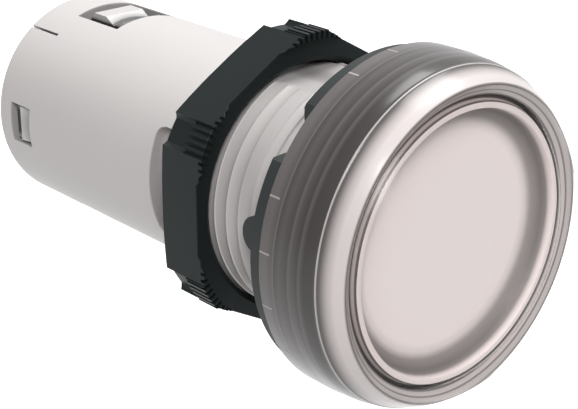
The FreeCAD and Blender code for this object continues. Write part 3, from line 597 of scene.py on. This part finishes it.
def make_nut(material):
    """The nut's section at every angle, from its bore round its front, ribs, waist and back."""
    columns = nut_columns()
    inner = NUT_BORE + NUT_CHAMFER
    points = []
    sections = []
    for angle, ahead, behind in columns:
        land = min(NUT_LAND_RADIUS, ahead - 0.1)
        groove = RIB_DEPTH if in_groove(angle, ahead) else 0.0
        sections.append([
            (NUT_BORE, NUT_BACK - NUT_CHAMFER), (NUT_BORE, NUT_FRONT + NUT_CHAMFER),
            (inner, NUT_FRONT),
            (min(NUT_LAND_RADIUS - NUT_LAND_SLOPE, ahead - 0.2), NUT_FRONT),
            (land, nut_front(land) + groove), (ahead - NUT_EDGE, nut_front(ahead) + groove),
            (ahead, nut_front(ahead) + NUT_EDGE + groove), (ahead, RIB_END),
            (behind, RIB_END + 0.02), (behind, nut_back(behind)),
            (min(NUT_CORNER - NUT_BEVEL_WIDTH, behind - 0.05), NUT_BACK), (inner, NUT_BACK)])
    for row in range(len(sections[0])):
        for (angle, _, _), section in zip(columns, sections):
            radius, y = section[row]
            points.append(around(radius, angle, y))
    faces = loop_faces(len(sections[0]), len(columns))
    add_piece("nut_moulding", points, faces, "nut", material,
              nodes=("fixing_nut",), slot="nut", sharp=28.0)


# Finishes

def new_group(name, inputs, outputs):
    """A shader node group with named inputs (name, kind, value) and outputs (name, kind)."""
    group = bpy.data.node_groups.new(name, "ShaderNodeTree")
    for label, kind, value in inputs:
        socket = group.interface.new_socket(name=label, in_out="INPUT", socket_type="NodeSocket" + kind)
        socket.default_value = value
    for label, kind in outputs:
        group.interface.new_socket(name=label, in_out="OUTPUT", socket_type="NodeSocket" + kind)
    return group


def add_node(tree, kind, **settings):
    """A shader node of a kind, with its own settings such as its operation."""
    node = tree.nodes.new("ShaderNode" + kind)
    for key, value in settings.items():
        setattr(node, key, value)
    return node


def make_moulded_group():
    """Moulded plastic: a fine spark-eroded grain, faint cloudiness and uneven gloss."""
    group = new_group(
        "moulded_plastic",
        [("Colour", "Color", (0.6, 0.6, 0.6, 1)), ("Cloud", "Float", 0.04),
         ("Grain size", "Float", 4500.0), ("Gloss", "Float", 0.4), ("Gloss change", "Float", 0.06)],
        [("Colour", "Color"), ("Roughness", "Float"), ("Height", "Float")])
    source = group.nodes.new("NodeGroupInput")
    result = group.nodes.new("NodeGroupOutput")
    link = group.links.new
    place = add_node(group, "TexCoord")

    grain = add_node(group, "TexNoise")
    grain.inputs["Detail"].default_value = 3.0
    link(place.outputs["Object"], grain.inputs["Vector"])
    link(source.outputs["Grain size"], grain.inputs["Scale"])
    link(grain.outputs["Fac"], result.inputs["Height"])

    cloud = add_node(group, "TexNoise")
    cloud.inputs["Scale"].default_value = 120.0
    cloud.inputs["Detail"].default_value = 4.0
    link(place.outputs["Object"], cloud.inputs["Vector"])
    centred = add_node(group, "Math", operation="SUBTRACT")
    centred.inputs[1].default_value = 0.5
    link(cloud.outputs["Fac"], centred.inputs[0])

    strength = add_node(group, "Math", operation="MULTIPLY_ADD")
    strength.inputs[2].default_value = 1.0
    link(centred.outputs[0], strength.inputs[0])
    link(source.outputs["Cloud"], strength.inputs[1])
    tint = add_node(group, "VectorMath", operation="SCALE")
    link(source.outputs["Colour"], tint.inputs[0])
    link(strength.outputs[0], tint.inputs["Scale"])
    link(tint.outputs[0], result.inputs["Colour"])

    gloss = add_node(group, "Math", operation="MULTIPLY_ADD")
    link(centred.outputs[0], gloss.inputs[0])
    link(source.outputs["Gloss change"], gloss.inputs[1])
    link(source.outputs["Gloss"], gloss.inputs[2])
    link(gloss.outputs[0], result.inputs["Roughness"])
    return group


def new_material(name):
    """A material with its node tree and its main shader."""
    material = bpy.data.materials.new(name)
    material.use_nodes = True
    return material, material.node_tree, material.node_tree.nodes["Principled BSDF"]


def moulded_material(name, group, colour, gloss, grain_size=4500.0, bump=0.15, specular=0.5):
    """Plastic or rubber from a mould, in one colour. A higher gloss value is duller."""
    material, tree, shader = new_material(name)
    finish = add_node(tree, "Group", node_tree=group)
    finish.inputs["Colour"].default_value = (*colour, 1)
    finish.inputs["Grain size"].default_value = grain_size
    finish.inputs["Gloss"].default_value = gloss
    relief = add_node(tree, "Bump")
    relief.inputs["Strength"].default_value = bump
    relief.inputs["Distance"].default_value = 0.00002
    link = tree.links.new
    link(finish.outputs["Colour"], shader.inputs["Base Color"])
    link(finish.outputs["Roughness"], shader.inputs["Roughness"])
    link(finish.outputs["Height"], relief.inputs["Height"])
    link(relief.outputs["Normal"], shader.inputs["Normal"])
    shader.inputs["Specular IOR Level"].default_value = specular
    return material


def lens_ray_window(tree, shader, colour):
    """Let lamps and soft light pass a lens material in its own tint."""
    link = tree.links.new
    window = add_node(tree, "BsdfTransparent")
    link(colour, window.inputs["Color"])
    rays = add_node(tree, "LightPath")
    passing = add_node(tree, "Math", operation="MAXIMUM")
    link(rays.outputs["Is Shadow Ray"], passing.inputs[0])
    link(rays.outputs["Is Diffuse Ray"], passing.inputs[1])
    both = add_node(tree, "MixShader")
    link(passing.outputs[0], both.inputs[0])
    link(shader.outputs[0], both.inputs[1])
    link(window.outputs[0], both.inputs[2])
    link(both.outputs[0], tree.nodes["Material Output"].inputs["Surface"])


def place_along(tree):
    """Where a point is along the light's axis, in metres."""
    place = add_node(tree, "TexCoord")
    split = add_node(tree, "SeparateXYZ")
    tree.links.new(place.outputs["Object"], split.inputs[0])
    return split.outputs["Y"]


def radius_of(tree):
    """How far a point is from the light's axis, in metres."""
    place = add_node(tree, "TexCoord")
    flat = add_node(tree, "VectorMath", operation="MULTIPLY")
    flat.inputs[1].default_value = (1, 0, 1)
    far = add_node(tree, "VectorMath", operation="LENGTH")
    tree.links.new(place.outputs["Object"], flat.inputs[0])
    tree.links.new(flat.outputs[0], far.inputs[0])
    return far.outputs["Value"]


def colour_over(tree, value, steps):
    """A colour that changes over a value in metres, from (millimetres, colour) steps."""
    link = tree.links.new
    spread = add_node(tree, "MapRange")
    band = add_node(tree, "ValToRGB")
    low, high = steps[0][0], steps[-1][0]
    spread.inputs["From Min"].default_value = low * MM
    spread.inputs["From Max"].default_value = high * MM
    link(value, spread.inputs["Value"])
    link(spread.outputs["Result"], band.inputs["Fac"])
    elements = band.color_ramp.elements
    elements[0].color = (*steps[0][1], 1)
    elements[1].color = (*steps[-1][1], 1)
    for place, colour in steps[1:-1]:
        elements.new((place - low) / (high - low)).color = (*colour, 1)
    return band.outputs["Color"]


def clear_lens_material(name):
    """The clear front of the lens, with a faint warm tint that deepens towards its edge."""
    material, tree, shader = new_material(name)
    tint = colour_over(tree, place_along(tree), (
        (-12.4, (1.0, 0.99, 0.985)), (-10.6, (0.99, 0.975, 0.97)), (-8.0, (0.90, 0.87, 0.86))))
    tree.links.new(tint, shader.inputs["Base Color"])
    shader.inputs["Roughness"].default_value = 0.02
    shader.inputs["IOR"].default_value = 1.01
    shader.inputs["Transmission Weight"].default_value = 1.0
    shader.inputs["Coat Weight"].default_value = 0.3
    shader.inputs["Coat IOR"].default_value = 1.3
    shader.inputs["Coat Roughness"].default_value = 0.2
    lens_ray_window(tree, shader, tint)
    return material


def satin_lens_material(name):
    """The shoulder: pearly at the front, then a bright ring that is a painted highlight, then smoky to
    the rim.
    """
    material, tree, shader = new_material(name)
    # The bright ring from y -7.60 to -7.54 mm is a painted highlight on the front edge of the smoky
    # skirt.
    outer = colour_over(tree, place_along(tree), (
        (-9.8, (0.14, 0.125, 0.12)), (-9.62, (0.14, 0.125, 0.12)), (-9.55, (0.70, 0.64, 0.63)),
        (-8.9, (0.70, 0.64, 0.63)), (-8.4, (0.50, 0.455, 0.445)), (-7.85, (0.13, 0.115, 0.112)),
        (-7.66, (0.07, 0.062, 0.06)), (-7.60, (0.55, 0.51, 0.50)), (-7.54, (0.55, 0.51, 0.50)),
        (-7.50, (0.045, 0.039, 0.038)), (-6.4, (0.035, 0.029, 0.028)), (-6.0, (0.095, 0.084, 0.082)),
        (-5.8, (0.035, 0.029, 0.028)), (-5.2, (0.065, 0.057, 0.055)), (-4.95, (0.11, 0.10, 0.097)),
        (-4.75, (0.045, 0.039, 0.038)), (-4.0, (0.085, 0.075, 0.073)), (-3.4, (0.05, 0.043, 0.042)),
        (-3.3, (0.14, 0.128, 0.124)), (-3.1, (0.08, 0.072, 0.07)), (-2.5, (0.12, 0.11, 0.107)),
        (-1.75, (0.12, 0.11, 0.107)), (-1.65, (0.35, 0.33, 0.32))))
    inner = colour_over(tree, radius_of(tree), (
        (12.15, (0.25, 0.25, 0.25)), (12.3, (0.25, 0.25, 0.25)), (12.36, (0.85, 0.85, 0.85)),
        (12.6, (0.85, 0.85, 0.85)), (12.64, (0.3, 0.3, 0.3)), (12.72, (0.3, 0.3, 0.3)),
        (12.78, (0.75, 0.75, 0.75)), (13.2, (0.68, 0.68, 0.68)), (13.3, (1, 1, 1))))
    shade = add_node(tree, "VectorMath", operation="MULTIPLY")
    tree.links.new(outer, shade.inputs[0])
    tree.links.new(inner, shade.inputs[1])
    tree.links.new(shade.outputs[0], shader.inputs["Base Color"])
    shader.inputs["Roughness"].default_value = 0.32
    shader.inputs["Specular IOR Level"].default_value = 0.25
    shader.inputs["Coat Weight"].default_value = 0.35
    shader.inputs["Coat Roughness"].default_value = 0.16
    lens_ray_window(tree, shader, shade.outputs[0])
    return material


def paint_barrel_shade(material, steps, hollow):
    """Paint shade into a housing's colour: steps along the light's axis darken the barrel, and hollow
    darkens its openings and pockets, except at the rear rim.
    """
    tree = material.node_tree
    link = tree.links.new
    finish = next(node for node in tree.nodes if node.type == "GROUP")
    painted_barrel_shade = colour_over(tree, place_along(tree), steps)
    sunk = colour_over(tree, radius_of(tree), ((10.12, (hollow,) * 3), (10.27, (1, 1, 1))))
    rim = colour_over(tree, place_along(tree), ((41.0, (0, 0, 0)), (41.4, (1, 1, 1))))
    lit = add_node(tree, "VectorMath", operation="MAXIMUM")
    shade = add_node(tree, "VectorMath", operation="MULTIPLY")
    link(sunk, lit.inputs[0])
    link(rim, lit.inputs[1])
    link(painted_barrel_shade, shade.inputs[0])
    link(lit.outputs[0], shade.inputs[1])
    link(shade.outputs[0], finish.inputs["Colour"])


def dish_material(name, group, steps, gloss):
    """Milky plastic with painted shade in the bend of the dish. Steps are (radius, colour)."""
    material, tree, shader = new_material(name)
    link = tree.links.new
    finish = add_node(tree, "Group", node_tree=group)
    finish.inputs["Cloud"].default_value = 0.02
    finish.inputs["Gloss"].default_value = gloss
    link(colour_over(tree, radius_of(tree), steps), finish.inputs["Colour"])
    link(finish.outputs["Colour"], shader.inputs["Base Color"])
    link(finish.outputs["Roughness"], shader.inputs["Roughness"])
    shader.inputs["Specular IOR Level"].default_value = 0.3
    return material


def underwall_shade_material(name, group, colour, shade_colour, gloss):
    """Moulded plastic with painted shade: darker in the narrow room under the tube's wall."""
    material, tree, shader = new_material(name)
    link = tree.links.new
    finish = add_node(tree, "Group", node_tree=group)
    finish.inputs["Gloss"].default_value = gloss
    middle = tuple((low + high) / 2 for low, high in zip(shade_colour, colour))
    steps = ((9.5, shade_colour), (9.66, shade_colour), (9.73, middle), (10.0, colour))
    link(colour_over(tree, radius_of(tree), steps), finish.inputs["Colour"])
    link(finish.outputs["Colour"], shader.inputs["Base Color"])
    link(finish.outputs["Roughness"], shader.inputs["Roughness"])
    return material


def metal_material(name, colour, roughness):
    """Plated metal with fine draw lines."""
    material, tree, shader = new_material(name)
    link = tree.links.new
    place = add_node(tree, "TexCoord")
    stretch = add_node(tree, "Mapping")
    stretch.inputs["Scale"].default_value = (1.0, 12.0, 1.0)
    lines = add_node(tree, "TexNoise")
    lines.inputs["Scale"].default_value = 900.0
    lines.inputs["Detail"].default_value = 2.0
    rough = add_node(tree, "MapRange")
    rough.inputs["To Min"].default_value = roughness - 0.08
    rough.inputs["To Max"].default_value = roughness + 0.1
    relief = add_node(tree, "Bump")
    relief.inputs["Strength"].default_value = 0.2
    relief.inputs["Distance"].default_value = 0.00001
    link(place.outputs["Object"], stretch.inputs["Vector"])
    link(stretch.outputs[0], lines.inputs["Vector"])
    link(lines.outputs["Fac"], rough.inputs["Value"])
    link(rough.outputs["Result"], shader.inputs["Roughness"])
    link(lines.outputs["Fac"], relief.inputs["Height"])
    link(relief.outputs["Normal"], shader.inputs["Normal"])
    shader.inputs["Base Color"].default_value = (*colour, 1)
    shader.inputs["Metallic"].default_value = 1.0
    return material


# Room: floor, lamps, background and camera

def seen_rays(tree):
    """1 for rays from the camera, a reflection or clear plastic, which find plain white."""
    rays = add_node(tree, "LightPath")
    either = add_node(tree, "Math", operation="MAXIMUM")
    seen = add_node(tree, "Math", operation="MAXIMUM")
    link = tree.links.new
    link(rays.outputs["Is Camera Ray"], either.inputs[0])
    link(rays.outputs["Is Glossy Ray"], either.inputs[1])
    link(either.outputs[0], seen.inputs[0])
    link(rays.outputs["Is Transmission Ray"], seen.inputs[1])
    return seen.outputs[0]


def make_floor():
    """A pale floor that keeps the light's shadow and looks white."""
    material, tree, shader = new_material("pale_floor")
    link = tree.links.new
    shader.inputs["Base Color"].default_value = (0.5, 0.5, 0.5, 1)
    shader.inputs["Roughness"].default_value = 0.9
    shader.inputs["Specular IOR Level"].default_value = 0.1
    glow = add_node(tree, "Emission")
    glow.inputs["Color"].default_value = (1, 1, 1, 1)
    link(seen_rays(tree), glow.inputs["Strength"])
    both = add_node(tree, "AddShader")
    link(shader.outputs[0], both.inputs[0])
    link(glow.outputs[0], both.inputs[1])
    link(both.outputs[0], tree.nodes["Material Output"].inputs["Surface"])
    mesh = bpy.data.meshes.new("floor")
    half, drop = 2.0, -0.06
    mesh.from_pydata([(-half, -half, drop), (half, -half, drop), (half, half, drop),
                      (-half, half, drop)], [], [(0, 1, 2, 3)])
    mesh.materials.append(material)
    floor = bpy.data.objects.new("floor", mesh)
    bpy.context.scene.collection.objects.link(floor)


def make_world():
    """Soft white light from all round, and plain white wherever it is seen."""
    world = bpy.data.worlds.new("studio")
    bpy.context.scene.world = world
    world.use_nodes = True
    tree = world.node_tree
    link = tree.links.new
    backdrop = tree.nodes["Background"]
    backdrop.inputs["Color"].default_value = (1, 1, 1, 1)
    strength = add_node(tree, "MapRange")
    strength.inputs["To Min"].default_value = 0.12
    strength.inputs["To Max"].default_value = 1.0
    link(seen_rays(tree), strength.inputs["Value"])
    link(strength.outputs["Result"], backdrop.inputs["Strength"])


def add_lamp(name, place, aim, size, power):
    """A soft rectangular lamp. Places and size in metres, power in watts."""
    lamp = bpy.data.lights.new(name, "AREA")
    lamp.shape = "RECTANGLE"
    lamp.size, lamp.size_y = size
    lamp.energy = power
    holder = bpy.data.objects.new(name, lamp)
    bpy.context.scene.collection.objects.link(holder)
    holder.location = place
    towards = Vector(aim) - Vector(place)
    holder.rotation_euler = towards.to_track_quat("-Z", "Y").to_euler()


def make_camera():
    """The photograph's camera, fitted to the turned parts of the light in it."""
    camera = bpy.data.cameras.new("camera")
    camera.sensor_width = 36.0
    camera.lens = CAMERA_LENS
    camera.clip_start = 0.01
    holder = bpy.data.objects.new("camera", camera)
    bpy.context.scene.collection.objects.link(holder)
    back = -Vector(CAMERA_AIM).normalized()
    up = back.cross(Vector(CAMERA_RIGHT)).normalized()
    right = up.cross(back).normalized()
    turn = Matrix((right, up, back)).transposed().to_4x4()
    holder.matrix_world = Matrix.Translation(Vector(CAMERA_PLACE) * MM) @ turn
    bpy.context.scene.camera = holder


# Make everything

make_camera()
make_world()
make_floor()
add_lamp("key_lamp", (-0.275, -0.32, 0.34), (0, 0.01, 0), (0.16, 0.26), 2.15)
add_lamp("top_lamp", (0.175, 0.06, 0.465), (0, 0.01, 0), (0.30, 0.30), 2.2)

moulded = make_moulded_group()
body_white = moulded_material("body_white", moulded, (0.66, 0.63, 0.62), 0.42)
# Painted shade on the barrel between the nut and the lens, and painted shade in the openings and
# pockets.
paint_barrel_shade(body_white, ((3.0, (0.50, 0.475, 0.468)), (15.4, (0.54, 0.515, 0.507)),
                          (16.5, (0.66, 0.63, 0.62))), 0.6)
block_white = moulded_material("block_white", moulded, (0.62, 0.60, 0.59), 0.45)
# The terminal block gets painted shade where it lies in the narrow room under the tube's wall.
block_white_underwall_shade = underwall_shade_material("block_white_underwall_shade", moulded, (0.62, 0.60, 0.59), (0.03, 0.03, 0.03), 0.45)
clip_grey = moulded_material("clip_grey", moulded, (0.40, 0.37, 0.36), 0.4)
# Painted shade in the bend of the dish from 9.6 to 11.1 mm, and fine dark lines at the edge of its
# brim.
milky_dish = dish_material("milky_dish", moulded, (
    (9.0, (0.97, 0.90, 0.89)), (9.6, (0.80, 0.745, 0.735)), (10.2, (0.30, 0.275, 0.27)),
    (10.9, (0.15, 0.137, 0.133)), (11.08, (0.22, 0.20, 0.197)), (11.2, (0.92, 0.85, 0.84)),
    (11.66, (0.92, 0.85, 0.84)), (11.7, (0.10, 0.09, 0.088)), (11.76, (0.10, 0.09, 0.088)),
    (11.8, (0.50, 0.46, 0.45)), (11.88, (0.50, 0.46, 0.45)), (11.92, (0.12, 0.108, 0.105)),
    (12.0, (0.12, 0.108, 0.105))), 0.5)
reflector_white = moulded_material("reflector_white", moulded, (0.8, 0.79, 0.78), 0.3)
rubber_black = moulded_material("rubber_black", moulded, (0.014, 0.018, 0.018), 0.6,
                                grain_size=3000.0, bump=0.2, specular=0.35)
nut_black = moulded_material("nut_black", moulded, (0.008, 0.012, 0.012), 0.45,
                             grain_size=3500.0, specular=0.13)
board_green = moulded_material("board_green", moulded, (0.04, 0.22, 0.09), 0.35)
board_white = moulded_material("board_white", moulded, (0.62, 0.61, 0.60), 0.4)
lamp_yellow = moulded_material("lamp_yellow", moulded, (0.85, 0.75, 0.3), 0.25)
case_yellow = moulded_material("case_yellow", moulded, (0.55, 0.4, 0.08), 0.3)
coat_blue = moulded_material("coat_blue", moulded, (0.03, 0.09, 0.3), 0.3)
case_black = moulded_material("case_black", moulded, (0.02, 0.02, 0.02), 0.5)
coat_pale = moulded_material("coat_pale", moulded, (0.3, 0.42, 0.5), 0.4)
lens_clear = clear_lens_material("lens_clear")
lens_satin = satin_lens_material("lens_satin")
brass = metal_material("brass_plate", (0.80, 0.62, 0.30), 0.3)
plated_steel = metal_material("plated_steel", (0.62, 0.61, 0.58), 0.32)

make_housing(body_white)
make_lens_window(lens_clear)
make_lens_shoulder(lens_satin)
make_clip_marks(clip_grey)
make_diffuser(milky_dish)
make_gasket(rubber_black)
make_nut(nut_black)

finish_of = {
    "terminal_block": block_white_underwall_shade,
    "rear_cover": block_white,
    "reflector_cone": reflector_white,
    "lens_seal": rubber_black,
    "terminal_bar_left": brass,
    "terminal_bar_right": brass,
    "clamp_plate_left": plated_steel,
    "clamp_plate_right": plated_steel,
    "terminal_screw_left": plated_steel,
    "terminal_screw_right": plated_steel,
    "lamp_board": board_white,
    "driver_board": board_green,
    "led_chips": lamp_yellow,
    "board_pins": plated_steel,
    "film_capacitor": case_yellow,
    "varistor": coat_blue,
    "bridge_rectifier": case_black,
    "series_resistors": coat_pale,
    "smoothing_capacitor": case_black,
}
for node, material in finish_of.items():
    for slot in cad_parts[node].material_slots:
        slot.material = material

bpy.context.scene.view_settings.view_transform = "Standard"
